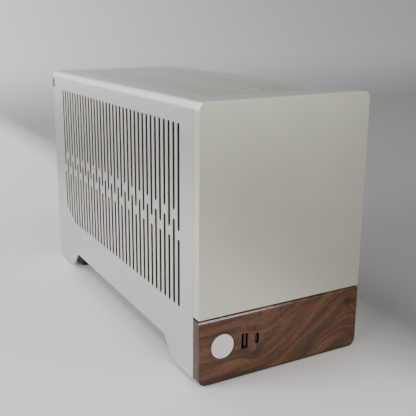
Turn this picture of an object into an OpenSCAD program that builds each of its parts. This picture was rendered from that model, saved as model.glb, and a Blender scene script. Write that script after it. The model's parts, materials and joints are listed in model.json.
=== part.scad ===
// Small sandwich-layout desktop computer tower: board and power supply on the left of a centre wall,
// graphics card on the right, aluminium skin around a black steel chassis.
// Frame: X across the case (left is -X), Y front (-) to rear (+), Z up from the surface it stands on.

/* [Case] */
// Width over both side panels
body_w = 153; // [151:1:158]
// Height from the standing surface to the top panel
body_h = 218; // [216:1:226]
// Length from the front face to the rear edge of the side panels
body_l = 341; // [341:1:352]
// How far the rear thumb screws stand out behind the body
rear_stand = 2; // [1:0.5:6]
// Thickness of the aluminium panels
skin = 2; // [1.5:0.1:2]
// Outside radius of the bent and machined corners
corner_r = 6; // [4:0.5:7]
// Outside radius of the side panels' bend at the rear
rear_r = 3; // [2.5:0.5:6]
// Height of the side panels' lower edge
panel_z = 3.3; // [2.5:0.1:4]
// Height of the openings between the side panels' legs
leg_h = 20; // [16:1:20]

/* [Vents] */
// Distance from one vent slot to the next
slot_pitch = 8; // [7:0.25:8]
// Width of a vent slot
slot_w = 3.5; // [2.5:0.1:4]
// Number of slots in a side panel
side_slots = 35; // [20:1:35]
// Number of slots in the top panel
top_slots = 36; // [20:1:36]
// Height of the solid bridges that interrupt the slots
bridge_h = 6.6; // [4:0.2:8]

/* [Front] */
// Thickness of the front plate and of the wooden strip
front_t = 8.5; // [8:0.5:9]
// Height of the front plate's lower edge
plate_z = 55.4; // [54:0.2:58]
// Height of the wooden strip's lower edge
wood_z = 0.8; // [0.5:0.1:2]
// Height of the wooden strip's upper edge
wood_top = 54; // [50:0.2:54]
// Diameter of the power button
button_d = 19.8; // [18:0.2:21.2]
// Travel of the power button
button_travel = 1.5; // [1:0.1:2]

/* [Hardware] */
// Edge of the square main board
board_l = 170; // [170:1:170]
// Height of the power supply's case
psu_h = 125; // [120:1:125]
// Depth of the power supply's case
psu_d = 100; // [96:1:100]
// Thickness of the power supply's case
psu_t = 63.5; // [60:0.5:63.5]
// Length of the graphics card's cooler
card_l = 267; // [240:1:267]
// Blades on each graphics card fan
card_blades = 11; // [7:2:13]

/* [Hidden] */
$fn = 48;
gap = 0.3;                      // clearance between a moving piece and its neighbours
eps = 1;                        // overshoot of cutting shapes
half_w = body_w / 2;
front_y = -(body_l + rear_stand) / 2;
rear_y = front_y + body_l;
plate_back = front_y + front_t;  // rear face of the front plate and wooden strip
inner_x = half_w - skin;
roof_z = body_h - skin;

// Side panels
panel_y0 = plate_back + gap;
flange_x = half_w - 14.3;       // inner end of the panels' top flange
rear_lip_x = half_w - 6.7;      // inner end of the panels' rear lip
slot_y0 = front_y + 32;         // centre of the foremost slot
slot_z0 = 54.5;
slot_z1 = 199.8;
bridge_lo = 113;                // centre heights of the two rows of bridges
bridge_hi = 127.9;
slot_steps = [12.5, 8.4, 4.2];  // how much higher the last slots end, counted from the rear
leg_y0 = front_y + 44.5;        // where the front leg's lower edge ends
leg_y1 = front_y + 290.5;       // where the rear leg's lower edge begins
leg_run = 14;
tab_y = rear_y - 8;             // front edge of the pull tabs
tab_z0 = 200;
tab_z1 = 210;

// Hooks and catches
pin_x = half_w - 5.5;
pin_z = 8;
pin_r = 1.5;
hook_y = [front_y + 22, rear_y - 29.5];
hook_w = 8;
rivet_r = 1.5;
rivet_z = [26, 37.4];
catch_y = [front_y + 15, rear_y - 17];
catch_z = 190;

// Chassis
chassis_t = 1.5;
frame_x = 72;                   // half width of the front frame
rear_x = 69;                    // half width of the rear frame
low_x = 66;                     // half width of both frames below the base plate
frame_back = rear_y - 0.5;      // outer face of the rear frame
rear_in = frame_back - chassis_t;
front_in = plate_back + chassis_t;
base_z = 20;
floor_z = base_z + chassis_t;
pad_t = 2;
foot_x = 67;
pad_l = 44;
pad_x = foot_x - pad_l / 2 - 0.5;
foot_y = [[front_in, front_y + 42], [front_y + 289, rear_y - 6]];
top_x = flange_x - gap;         // half width of the top panel
wall_x0 = 3;
wall_x1 = wall_x0 + chassis_t;
wall_z1 = roof_z - 4;

// Front controls
lip_inset = 2;                  // how far the lip over the wooden strip sits behind the front face
button_x = -55.5;
button_z = 30.2;
switch_r = 8.2;                 // outside of the switch behind the button
port_a_x = -35.5;
port_c_x = -24;
port_z = 30;
front_lead_y = front_y + 24.5;  // where the front sockets' lead starts

// Main board
board_t = 1.6;
standoff_h = 6.5;
board_back = wall_x0 - standoff_h;
board_x = board_back - board_t; // component face, looking to -X
board_y1 = rear_in - 1.5;
board_y0 = board_y1 - board_l;
board_z0 = 41.5;
board_z1 = board_z0 + board_l;
io_x0 = board_x - 41.5;         // the rear connector opening is 44.5 by 158.8
io_x1 = board_x + 3;
io_z0 = board_z0 + 5;
io_z1 = io_z0 + 158.8;
cpu_y = board_y0 + 92;
cpu_z = board_z0 + 92;
pcie_y = [board_y0 + 36, board_y0 + 125];
pcie_z = board_z0 + 8;
main_socket_y = [board_y0 + 26, board_y0 + 56];
main_socket_z = board_z1 - 20.5;
ram_y = [for (i = [0, 1]) board_y0 + 7 + i * 10];
ram_z0 = board_z0 + 20;
ram_l = 133.4;
latch_h = 6;
latch_z = ram_z0 + ram_l + 2.8; // lower face of the latches
latch_pin = [board_x - 3.5, latch_z + 1.5];
latch_pin_r = 0.8;

// Processor cooler
cool_w = 92;
fin_x0 = board_x - 48;
fin_x1 = board_x - 26;
pipe_z = [for (i = [-1.5:1:1.5]) cpu_z + i * 12];
cool_fan_r = 43.2;

// Power supply
psu_x1 = wall_x0 - 3.5;
psu_x0 = psu_x1 - psu_t;
psu_y0 = front_y + 43.5;
psu_y1 = psu_y0 + psu_d;
psu_z0 = 78;
psu_z1 = psu_z0 + psu_h;
psu_cy = (psu_y0 + psu_y1) / 2;
psu_cz = (psu_z0 + psu_z1) / 2;
psu_skin = 1;
psu_fan_r = 44;
rocker_tilt = 8;                // the rocker leans this far to each side
rocker_y = psu_y0 + 1;          // the rocker's pins lie at this depth
rocker_pin_r = 0.8;
rocker_z = psu_z0 + 62;
inlet_x = psu_x0 + 26;
inlet_z = psu_z1 - 24;
lead_plug_x = [psu_x0 + 14, psu_x0 + 28];
lead_rows = [psu_z1 - 12, psu_z1 - 36, psu_z1 - 60];

// Power inlet and its lead
socket_x = -30;
socket_z = 32.5;
lead_r = 3.4;
lead_x = inlet_x;
lead_z = 28;
lead_bend = 15;
lead_y = psu_y0 - 15;           // where the lead climbs to the power supply

// Graphics card
slot_step = 20.32;              // spacing of expansion slots
slot_x = [for (i = [0:2]) 18 + i * slot_step];
card_board_x = 15.2;
card_y1 = rear_in - 3;
card_y0 = card_y1 - card_l;
card_z0 = 60;
card_z1 = 172;
card_x0 = 18.4;                 // cooler's inner face
card_x1 = 62;                   // shroud's outer face
card_fan_r = 43;
card_fan_y = [card_y0 + 72, card_y0 + 194];
card_fan_z = (card_z0 + card_z1) / 2;
finger_y = [card_y1 - 126, card_y1 - 37];
ribbon_y = [finger_y[0] + 8, finger_y[1] - 8];

// ---------- Shared shapes ----------

// A block between two opposite corners.
module block(low, high) {
    translate(low) cube(high - low);
}

// Extrudes a Y-Z outline from x0 to x1.
module along_x(x0, x1) {
    translate([x0, 0, 0]) rotate([90, 0, 90]) linear_extrude(x1 - x0) children();
}

// Extrudes an X-Z outline from y0 to y1.
module along_y(y0, y1) {
    translate([0, y1, 0]) rotate([90, 0, 0]) linear_extrude(y1 - y0) children();
}

// Extrudes an X-Y outline from z0 to z1.
module along_z(z0, z1) {
    translate([0, 0, z0]) linear_extrude(z1 - z0) children();
}

module rod_x(x0, x1, y, z, r) {
    translate([x0, y, z]) rotate([0, 90, 0]) cylinder(h = x1 - x0, r = r);
}

module rod_y(x, y0, y1, z, r) {
    translate([x, y1, z]) rotate([90, 0, 0]) cylinder(h = y1 - y0, r = r);
}

module rect(a0, b0, a1, b1) {
    translate([a0, b0]) square([a1 - a0, b1 - b0]);
}

// Points on an arc from angle a0 to a1.
function arc(c, r, a0, a1, n) = [
    for (i = [0:n]) c + r * [cos(a0 + (a1 - a0) * i / n), sin(a0 + (a1 - a0) * i / n)]
];

// A round-ended slot of width w between b0 and b1 on the second axis.
function slot_points(a, b0, b1, w) = concat(
    arc([a, b1 - w / 2], w / 2, 0, 180, 6),
    arc([a, b0 + w / 2], w / 2, 180, 360, 6)
);

// A rectangle with a rounded corner at its low first, high second corner.
module bent_outline(a0, b0, a1, b1, r) {
    rect(a0 + r, b0, a1, b1);
    rect(a0, b0, a0 + r, b1 - r);
    translate([a0 + r, b1 - r]) circle(r);
}

// A rectangle with all four corners rounded.
module round_rect(a0, b0, a1, b1, r) {
    rect(a0 + r, b0, a1 - r, b1);
    rect(a0, b0 + r, a1, b1 - r);
    for (a = [a0 + r, a1 - r], b = [b0 + r, b1 - r])
        translate([a, b]) circle(r);
}

// A fan wheel that turns about an axis along X: a hub and flat, pitched blades.
module fan_wheel(x0, x1, y, z, r, hub_r, blades, pitch) {
    mid = (x0 + x1) / 2;
    rod_x(x0, x1, y, z, hub_r);
    intersection() {
        rod_x(x0 + 0.5, x1 - 0.5, y, z, r);
        translate([mid, y, z])
            for (i = [0:blades - 1])
                rotate([i * 360 / blades, 0, 0])
                    rotate([0, 0, pitch])
                        block([-0.6, -r * 0.36, hub_r - 3], [0.6, r * 0.36, r + 1]);
    }
}

// A round screw head on a face that looks along +Y.
module screw_head_y(x, y, z, r, h) {
    difference() {
        rod_y(x, y, y + h, z, r);
        translate([x, y + h - h * 0.6, z])
            rotate([-90, 0, 0]) cylinder(h = h, r = r * 0.5, $fn = 6);
    }
}

// ---------- Aluminium skin ----------

function slot_z_start(i) =
    let (from_rear = side_slots - 1 - i)
    slot_z0 + (from_rear < len(slot_steps) ? slot_steps[from_rear] : 0);

module side_vents() {
    for (i = [0:side_slots - 1]) {
        y = slot_y0 + i * slot_pitch;
        bridge = i % 2 == 0 ? bridge_lo : bridge_hi;
        polygon(slot_points(y, slot_z_start(i), bridge - bridge_h / 2, slot_w));
        polygon(slot_points(y, bridge + bridge_h / 2, slot_z1, slot_w));
    }
}

// The opening between the legs, with rounded inner corners.
module leg_opening() {
    r = 6;
    polygon(concat(
        [[leg_y0 - eps, panel_z - eps], [leg_y0, panel_z]],
        arc([leg_y0 + leg_run + r * 0.45, leg_h - r], r, 135, 90, 4),
        arc([leg_y1 - leg_run - r * 0.45, leg_h - r], r, 90, 45, 4),
        [[leg_y1, panel_z], [leg_y1 + eps, panel_z - eps]]
    ));
}

// Everything inside the panel's bends; grow is the distance in from the outer face.
module panel_core(grow) {
    intersection() {
        along_y(panel_y0 - (grow > 0 ? eps : 0), rear_y - grow)
            bent_outline(-half_w + grow, panel_z - (grow > 0 ? eps : 0), -flange_x + (grow > 0 ? eps : 0),
                         body_h - grow, corner_r - grow);
        along_z(panel_z - (grow > 0 ? eps : 0), body_h - grow)
            bent_outline(-half_w + grow, panel_y0 - (grow > 0 ? eps : 0), -flange_x + (grow > 0 ? eps : 0),
                         rear_y - grow, rear_r - grow);
    }
}

module side_panel() {
    difference() {
        panel_core(0);
        panel_core(skin);
        block([-rear_lip_x, rear_y - skin - eps, 0], [0, rear_y + eps, roof_z]);
        block([-half_w - eps, tab_y, tab_z0], [-rear_lip_x - 0.2, rear_y + eps, tab_z1]);
        along_x(-half_w - eps, -inner_x + eps) side_vents();
        along_x(-half_w - eps, -inner_x + eps) leg_opening();
        for (z = rivet_z) rod_x(-half_w - eps, -inner_x + eps, hook_y[1], z, rivet_r);
        along_x(-half_w - eps, -rear_lip_x + 3) difference() {
            rect(rear_y - 5, panel_z - eps, rear_y + eps, panel_z + 5);
            translate([rear_y - 5, panel_z + 5]) circle(5);
        }
    }
}

module left_side_panel() {
    color("silver") side_panel();
}

module right_side_panel() {
    color("silver") mirror([1, 0, 0]) side_panel();
}

// A strap riveted inside a leg, ending in a hook that sits over a chassis pin.
// Its rivets start at rivet_x: inside the panel, or near its outer face in a hole.
module panel_hook(y, rivet_x) {
    cap_r = 3.4;
    difference() {
        union() {
            block([-inner_x, y - hook_w / 2, pin_z - 2.5], [-inner_x + 2, y + hook_w / 2, 42]);
            rod_y(-pin_x, y - hook_w / 2, y + hook_w / 2, pin_z, cap_r);
            block([-inner_x, y - hook_w / 2, pin_z], [-pin_x, y + hook_w / 2, pin_z + cap_r]);
        }
        rod_y(-pin_x, y - hook_w, y + hook_w, pin_z, pin_r + 0.1);
        block([-pin_x - pin_r - 0.1, y - hook_w, pin_z - 9], [-pin_x + pin_r + 0.1, y + hook_w, pin_z]);
    }
    for (z = rivet_z) rod_x(rivet_x, -inner_x + 3, y, z, rivet_r);
}

module panel_hooks() {
    panel_hook(hook_y[0], -inner_x);
    panel_hook(hook_y[1], -half_w + 0.4);
}

module left_panel_hooks() {
    color("dimgray") panel_hooks();
}

module right_panel_hooks() {
    color("dimgray") mirror([1, 0, 0]) panel_hooks();
}

// A moulded tab in the notch of the rear edge, pulled to release the panel.
module pull_tab() {
    difference() {
        along_z(tab_z0, tab_z1)
            bent_outline(-half_w + 0.2, tab_y, -rear_lip_x - 0.2, rear_y - 0.4, 1);
        block([-inner_x + 0.6, 0, 0], [0, rear_y - skin - 0.6, body_h]);
    }
}

module left_pull_tab() {
    color("black") pull_tab();
}

module right_pull_tab() {
    color("black") mirror([1, 0, 0]) pull_tab();
}

// Ball-ended studs that snap into the chassis clips.
module catch_stud(y) {
    rod_x(-inner_x, -inner_x + 1, y, catch_z, 4);
    rod_x(-inner_x + 1, -inner_x + 5, y, catch_z, 1.4);
    translate([-inner_x + 5.6, y, catch_z]) sphere(2);
}

module left_catch_studs() {
    color("silver") for (y = catch_y) catch_stud(y);
}

module right_catch_studs() {
    color("silver") mirror([1, 0, 0]) for (y = catch_y) catch_stud(y);
}

module top_panel() {
    color("silver") along_z(roof_z, body_h) difference() {
        rect(-top_x, panel_y0, top_x, rear_y);
        for (i = [0:top_slots - 1]) {
            y = slot_y0 + i * slot_pitch + 1;
            bridge = i % 2 == 0 ? -7.4 : 7.4;
            for (run = [[-54, bridge - bridge_h / 2], [bridge + bridge_h / 2, 54]])
                polygon([for (p = slot_points(y, run[0], run[1], slot_w)) [p[1], p[0]]]);
        }
    }
}

module front_plate() {
    boss_x = half_w - 14;
    color("gainsboro") {
        difference() {
            along_y(front_y, plate_back) {
                rect(-half_w, plate_z, half_w, body_h - corner_r);
                rect(-half_w + corner_r, plate_z, half_w - corner_r, body_h);
                for (s = [-1, 1])
                    translate([s * (half_w - corner_r), body_h - corner_r]) circle(corner_r);
            }
            block([-half_w + 5, front_y + 3, plate_z + 5], [half_w - 5, plate_back + eps, body_h - 6]);
        }
        for (x = [-boss_x, boss_x], z = [plate_z + 14, body_h - 16])
            rod_y(x, front_y + 3, plate_back, z, 4);
    }
}

module wood_strip() {
    chamfer = 1.8;
    color("saddlebrown") difference() {
        intersection() {
            along_y(front_y, plate_back) {
                rect(-half_w, wood_z + corner_r, half_w, wood_top);
                rect(-half_w + corner_r, wood_z, half_w - corner_r, wood_top);
                for (s = [-1, 1])
                    translate([s * (half_w - corner_r), wood_z + corner_r]) circle(corner_r);
            }
            along_x(-half_w, half_w)
                polygon([[front_y, wood_z], [plate_back, wood_z], [plate_back, wood_top],
                         [front_y + chamfer, wood_top], [front_y, wood_top - chamfer]]);
        }
        rod_y(button_x, front_y - eps, plate_back + eps, button_z, button_d / 2 + 0.4);
        block([port_a_x - 3, front_y - eps, port_z - 6.4], [port_a_x + 3, plate_back + eps, port_z + 6.4]);
        along_y(front_y - eps, plate_back + eps)
            polygon(slot_points(port_c_x, port_z - 4.9, port_z + 4.9, 4));
    }
}

// ---------- Front controls ----------

module power_button() {
    color("gainsboro") {
        rod_y(button_x, front_y, front_y + 6, button_z, button_d / 2);
        rod_y(button_x, front_y + 6, front_y + 9, button_z, 3);
    }
}

module power_switch() {
    y0 = front_y + 9 + button_travel + 0.2;
    color("dimgray") {
        difference() {
            rod_y(button_x, plate_back, y0 + 3, button_z, switch_r);
            rod_y(button_x, plate_back - eps, y0, button_z, 4);
        }
        rod_y(button_x, y0 + 3, y0 + 11, button_z, 7);
        for (z = [button_z - 3, button_z + 3])
            block([button_x - 0.4, y0 + 11, z - 1.4], [button_x + 0.4, y0 + 16, z + 1.4]);
    }
}

module usb_a_port() {
    y0 = front_y + 0.6;
    y1 = front_y + 19;
    color("dimgray") {
        difference() {
            block([port_a_x - 3, y0, port_z - 6.4], [port_a_x + 3, y1, port_z + 6.4]);
            block([port_a_x - 2.6, y0 - eps, port_z - 6], [port_a_x + 2.6, y1 - 2, port_z + 6]);
        }
        block([port_a_x + 0.4, y0 + 1, port_z - 5.4], [port_a_x + 2.2, y1 - 2, port_z + 5.4]);
    }
}

module usb_c_port() {
    y0 = front_y + 0.3;
    y1 = front_y + 12;
    color("silver") {
        along_y(y0, y1) difference() {
            polygon(slot_points(port_c_x, port_z - 4.9, port_z + 4.9, 4));
            polygon(slot_points(port_c_x, port_z - 4.5, port_z + 4.5, 3.2));
        }
        along_y(y0 + 1, y1) rect(port_c_x - 0.35, port_z - 3.3, port_c_x + 0.35, port_z + 3.3);
        along_y(y1, y1 + 1) polygon(slot_points(port_c_x, port_z - 4.9, port_z + 4.9, 4));
    }
}

module front_io_board() {
    y0 = front_y + 19;
    color("darkgreen") block([port_a_x - 5, y0, floor_z + 0.5], [port_c_x + 6, y0 + 1.6, port_z + 12]);
    color("black") {
        block([port_a_x - 4, y0 + 1.6, floor_z + 3], [port_c_x - 2, front_lead_y, floor_z + 17]);
        along_y(front_y + 13, y0)
            rect(port_c_x - 3, port_z - 5, port_c_x + 3, port_z + 5);
    }
}

// ---------- Chassis ----------

module base_plate() {
    color("#202020") along_z(base_z, floor_z) difference() {
        rect(-foot_x - 2, front_in, foot_x + 2, rear_in);
        for (i = [0:19], side = [-1, 1])
            polygon([for (p = slot_points(-105 + i * 10.5, 10, 58, 4)) [side * p[1], p[0]]]);
    }
}

// Two bent channels across the case, with ears for the hinge pins.
module chassis_feet() {
    color("#181818") for (f = [0, 1]) {
        y0 = foot_y[f][0];
        y1 = foot_y[f][1];
        along_x(-foot_x, foot_x) {
            rect(y0, pad_t, y0 + 2, base_z);
            rect(y1 - 2, pad_t, y1, base_z);
            rect(y0, pad_t, y1, pad_t + 2);
        }
        for (s = [-1, 1])
            block([s * (foot_x - 1) - 1, y0, pad_t], [s * (foot_x - 1) + 1, y1, base_z]);
        for (s = [-1, 1], e = [-1, 1]) {
            ear_y = hook_y[f] + e * (hook_w / 2 + 1.5);
            difference() {
                union() {
                    translate([s * (pin_x + foot_x - 4) / 2, ear_y, pin_z])
                        cube([pin_x - foot_x + 4, 2, 5.2], center = true);
                    rod_y(s * pin_x, ear_y - 1, ear_y + 1, pin_z, 2.6);
                }
                rod_y(s * pin_x, ear_y - 2, ear_y + 2, pin_z, pin_r);
            }
        }
    }
}

module foot_pads() {
    color("#101010") for (f = [0, 1], s = [-1, 1])
        along_z(0, pad_t)
            round_rect(s * pad_x - pad_l / 2, foot_y[f][0] + 1, s * pad_x + pad_l / 2, foot_y[f][1] - 1, 3);
}

module hinge_pins() {
    color("silver") for (y = hook_y, s = [-1, 1])
        rod_y(s * pin_x, y - hook_w / 2 - 2.5, y + hook_w / 2 + 2.5, pin_z, pin_r);
}

// Spring clips that hold the panels' ball studs.
module catch_clips() {
    clip_x = inner_x - 7;
    color("#303030") for (y = catch_y, s = [-1, 1])
        difference() {
            translate([s * clip_x, y, catch_z]) cube([6, 10, 10], center = true);
            rod_x(-half_w, half_w, y, catch_z, 2.5);
        }
}

module front_frame() {
    color("#202020") {
        along_y(plate_back, front_in) difference() {
            union() {
                rect(-frame_x, base_z, frame_x, roof_z - 2);
                rect(-low_x, pad_t, low_x, base_z);
            }
            translate([button_x, button_z]) circle(switch_r + 0.2);
            rect(port_a_x - 4, port_z - 7.4, port_c_x + 4, port_z + 7.4);
            for (x = [-30 : 12 : 54], z = [70, 140])
                polygon(slot_points(x, z, z + 60, 5));
        }
        // The dark lip in the joint between the front plate and the wooden strip.
        block([-frame_x - 2, front_y + lip_inset, wood_top + 0.1], [frame_x + 2, plate_back, plate_z - 0.1]);
        for (s = [-1, 1])
            block([s * (frame_x - 0.75) - 0.75, front_in, floor_z + 22],
                  [s * (frame_x - 0.75) + 0.75, front_in + 10, roof_z - 34]);
    }
}

module rear_frame() {
    color("#202020") {
        along_y(rear_in, frame_back) difference() {
            union() {
                rect(-rear_x, base_z, rear_x, roof_z - gap);
                rect(-low_x, pad_t, low_x, base_z);
            }
            rect(io_x0, io_z0, io_x1, io_z1);
            for (x = slot_x) rect(x - 6.5, card_z0 + 2, x + 6.5, card_z1 + 2);
            rect(socket_x - 13.6, socket_z - 9.8, socket_x + 13.6, socket_z + 9.8);
            for (z = [50 : 8 : 200])
                polygon([for (p = slot_points(z, -66, io_x0 - 4, 3.6)) [p[1], p[0]]]);
            for (z = [188 : 7 : 204])
                polygon([for (p = slot_points(z, 10, 64, 3.6)) [p[1], p[0]]]);
            for (x = slot_x) translate([x, card_z1 + 7]) circle(1.6);
        }
        for (s = [-1, 1])
            block([s * (rear_x - 0.75) - 0.75, rear_in - 10, floor_z],
                  [s * (rear_x - 0.75) + 0.75, rear_in, roof_z - 14]);
    }
}

module top_rails() {
    rail_x = top_x - 1;
    color("#202020") for (s = [-1, 1])
        mirror([s > 0 ? 1 : 0, 0, 0])
            along_y(front_in, rear_in) {
                rect(-rail_x - 2, roof_z - 12, -rail_x, roof_z - 0.5);
                rect(-rail_x, roof_z - 2, -rail_x + 5, roof_z);
            }
}

module centre_wall() {
    color("#262626") along_x(wall_x0, wall_x1) difference() {
        rect(front_in, floor_z, rear_in, wall_z1);
        rect(ribbon_y[0] - 3, floor_z - eps, ribbon_y[1] + 3, floor_z + 11);
        rect(psu_y1 + 3, floor_z - eps, psu_y1 + 19, floor_z + 40);
        rect(psu_y1 + 3, card_z1 + 6, psu_y1 + 21, card_z1 + 26);
        for (y = [board_y0 + 8, board_y1 - 8], z = [board_z0 + 7, board_z1 - 7])
            translate([y, z]) circle(1.5);
    }
}

module chassis_screws() {
    color("#3a3a3a") {
        for (x = slot_x) {
            screw_head_y(x, frame_back, card_z1 + 7, 3.4, rear_stand + 0.5);
            rod_y(x, rear_in - 3, frame_back, card_z1 + 7, 1.5);
        }
        for (x = [-64, 64], z = [14, 208]) screw_head_y(x, frame_back, z, 2.6, 1.4);
        for (y = [board_y0 + 8, board_y1 - 8], z = [board_z0 + 7, board_z1 - 7])
            rod_x(board_x - 2, board_x, y, z, 2.8);
        for (x = [-62, 62])
            rod_y(x, foot_y[1][0] - 0.8, foot_y[1][0], 7, 2);
    }
}

// ---------- Main board ----------

module io_shield() {
    port_y = rear_in;
    color("silver") along_y(port_y, frame_back) difference() {
        rect(io_x0, io_z0, io_x1, io_z1);
        rect(board_x - 15.7, io_z0 + 8, board_x + 0.3, io_z0 + 23);
        rect(board_x - 15.7, io_z0 + 26, board_x + 0.3, io_z0 + 41);
        rect(board_x - 14.2, io_z0 + 46, board_x + 0.3, io_z0 + 62);
        rect(board_x - 6.3, io_z0 + 68, board_x + 0.3, io_z0 + 83.4);
        rect(board_x - 6.3, io_z0 + 88, board_x + 0.3, io_z0 + 103.4);
        for (i = [0:2]) translate([board_x - 7, io_z0 + 118 + i * 13]) circle(4);
    }
}

module motherboard() {
    color("#161a18") along_x(board_x, board_back) difference() {
        rect(board_y0, board_z0, board_y1, board_z1);
        for (y = [board_y0 + 8, board_y1 - 8], z = [board_z0 + 7, board_z1 - 7])
            translate([y, z]) circle(1.9);
    }
}

module board_standoffs() {
    color("goldenrod") for (y = [board_y0 + 8, board_y1 - 8], z = [board_z0 + 7, board_z1 - 7])
        translate([board_back, y, z]) rotate([0, 90, 0]) cylinder(h = standoff_h, r = 2.9, $fn = 6);
}

// A metal connector shell that opens to the rear, with a tongue inside.
module rear_socket(z0, z1, h, y0, tongue) {
    x1 = board_x;
    difference() {
        block([x1 - h, y0, z0], [x1, frame_back + 0.6, z1]);
        block([x1 - h + 0.5, y0 + 3, z0 + 0.5], [x1 - 1, frame_back + 0.6 + eps, z1 - 0.5]);
    }
    for (t = tongue) block([x1 - t - 0.8, y0 + 3, z0 + 1.5], [x1 - t + 0.8, frame_back - 1, z1 - 1.5]);
    if (len(tongue) > 1)
        block([x1 - h / 2 - 0.3, y0 + 3, z0 + 0.5], [x1 - h / 2 + 0.3, frame_back + 0.6, z1 - 0.5]);
}

module rear_data_ports() {
    color("silver") for (z = [io_z0 + 8.3, io_z0 + 26.3])
        rear_socket(z, z + 14.4, 15.4, board_y1 - 13, [4.2, 11.2]);
    color("dimgray") for (z = [io_z0 + 68.3, io_z0 + 88.3])
        rear_socket(z, z + 14.8, 6, board_y1 - 9, [3.2]);
}

module lan_port() {
    color("silver") difference() {
        block([board_x - 13.6, board_y1 - 18, io_z0 + 46.3], [board_x, frame_back + 0.6, io_z0 + 61.7]);
        block([board_x - 10.6, board_y1 - 8, io_z0 + 48.1], [board_x - 2.6, frame_back + 2, io_z0 + 59.9]);
    }
}

module audio_jacks() {
    for (i = [0:2]) {
        z = io_z0 + 118 + i * 13;
        color(["lightgreen", "lightblue", "pink"][i]) difference() {
            union() {
                block([board_x - 13, board_y1 - 12, z - 5.5], [board_x, rear_in - 0.2, z + 5.5]);
                rod_y(board_x - 7, rear_in - 0.2, frame_back + 0.4, z, 3.8);
            }
            rod_y(board_x - 7, board_y1 - 9, frame_back + eps, z, 1.85);
        }
    }
}

// Socket frame and the processor in it.
module processor() {
    color("dimgray") block([board_x - 3, cpu_y - 24, cpu_z - 24], [board_x, cpu_y + 24, cpu_z + 24]);
    color("silver") block([board_x - 6.5, cpu_y - 18, cpu_z - 18], [board_x - 3, cpu_y + 18, cpu_z + 18]);
}

module board_sockets() {
    color("black") {
        difference() {
            block([board_x - 11, pcie_y[0], pcie_z - 3.7], [board_x, pcie_y[1], pcie_z + 3.7]);
            block([board_x - 11 - eps, pcie_y[0] + 2, pcie_z - 1], [board_x - 3, pcie_y[1] - 2, pcie_z + 1]);
        }
        for (y = ram_y)
            difference() {
                union() {
                    block([board_x - 7, y - 3.2, ram_z0 - 5], [board_x, y + 3.2, ram_z0 + ram_l + 2]);
                    for (s = [-1, 1])
                        translate([board_x - 3, y + s * 3.4, latch_z + 0.6]) cube([6, 0.8, 5.2], center = true);
                }
                block([board_x - 7 - eps, y - 0.9, ram_z0 - 0.3], [board_x - 3, y + 0.9, ram_z0 + ram_l + 0.3]);
                rod_y(latch_pin[0], y - 5, y + 5, latch_pin[1], latch_pin_r + 0.05);
            }
        block([board_x - 12, main_socket_y[0], main_socket_z - 5], [board_x, main_socket_y[1], main_socket_z + 5]);
        block([board_x - 12, board_y1 - 70, board_z1 - 11], [board_x, board_y1 - 52, board_z1 - 1.5]);
    }
}

// A lever at the end of a memory slot, turning on a pin along Y.
module ram_latch(y) {
    color("white") {
        block([board_x - 11, y - 2.6, latch_z], [board_x - 1.2, y + 2.6, latch_z + 3]);
        block([board_x - 15, y - 2.6, latch_z], [board_x - 11, y + 2.6, latch_z + latch_h]);
        rod_y(latch_pin[0], y - 3.6, y + 3.6, latch_pin[1], latch_pin_r);
    }
}

module ram_latch_upper() {
    ram_latch(ram_y[1]);
}

module ram_latch_lower() {
    ram_latch(ram_y[0]);
}

module memory_modules() {
    for (y = ram_y) {
        color("darkgreen") block([board_x - 31, y - 0.7, ram_z0], [board_x - 3, y + 0.7, ram_z0 + ram_l]);
        color("dimgray") for (s = [-1, 1])
            block([board_x - 34, y + s * 1.7 - 1, ram_z0 + 1], [board_x - 8, y + s * 1.7 + 1, ram_z0 + ram_l - 1]);
    }
}

module storage_heatsink() {
    y0 = board_y0 + 36;
    z0 = board_z0 + 20;
    color("#303030") difference() {
        block([board_x - 9, y0, z0], [board_x - 2, y0 + 80, z0 + 22]);
        for (z = [z0 + 3 : 4 : z0 + 17])
            block([board_x - 9 - eps, y0 - eps, z], [board_x - 5, y0 + 81, z + 2]);
    }
    color("darkgreen") block([board_x - 2, y0, z0], [board_x, y0 + 80, z0 + 22]);
}

module vrm_heatsinks() {
    z0 = board_z1 - 36;
    y1 = board_y1 - 20;
    color("#303030") difference() {
        union() {
            block([board_x - 24, cpu_y - 30, z0 + 4], [board_x, y1, z0 + 22]);
            block([board_x - 24, y1 - 8, cpu_z - 30], [board_x, y1, z0 + 4]);
        }
        for (z = [z0 + 7 : 4 : z0 + 19])
            block([board_x - 24 - eps, cpu_y - 31, z], [board_x - 8, y1 + eps, z + 2]);
    }
}

// ---------- Processor cooler ----------

module cooler_base() {
    r = 3;
    bend = 9;
    x_low = board_x - 14;
    x_high = (fin_x0 + fin_x1) / 2;
    color("peru") {
        difference() {
            block([board_x - 18, cpu_y - 20, cpu_z - 24], [board_x - 6.5, cpu_y + 20, cpu_z + 24]);
            for (z = pipe_z) rod_y(x_low, cpu_y - 40, cpu_y + 40, z, r);
        }
        for (z = pipe_z) {
            rod_y(x_low, cpu_y - 20, cpu_y + 46 - bend, z, r);
            rod_y(x_high, cpu_y - 44, cpu_y + 46 - bend, z, r);
            rod_x(x_high + bend, x_low - bend, cpu_y + 46, z, r);
            for (end = [[x_low - bend, 0], [x_high + bend, 90]])
                translate([end[0], cpu_y + 46 - bend, z])
                    rotate([0, 0, end[1]])
                        rotate_extrude(angle = 90) translate([bend, 0]) circle(r);
        }
    }
}

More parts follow.
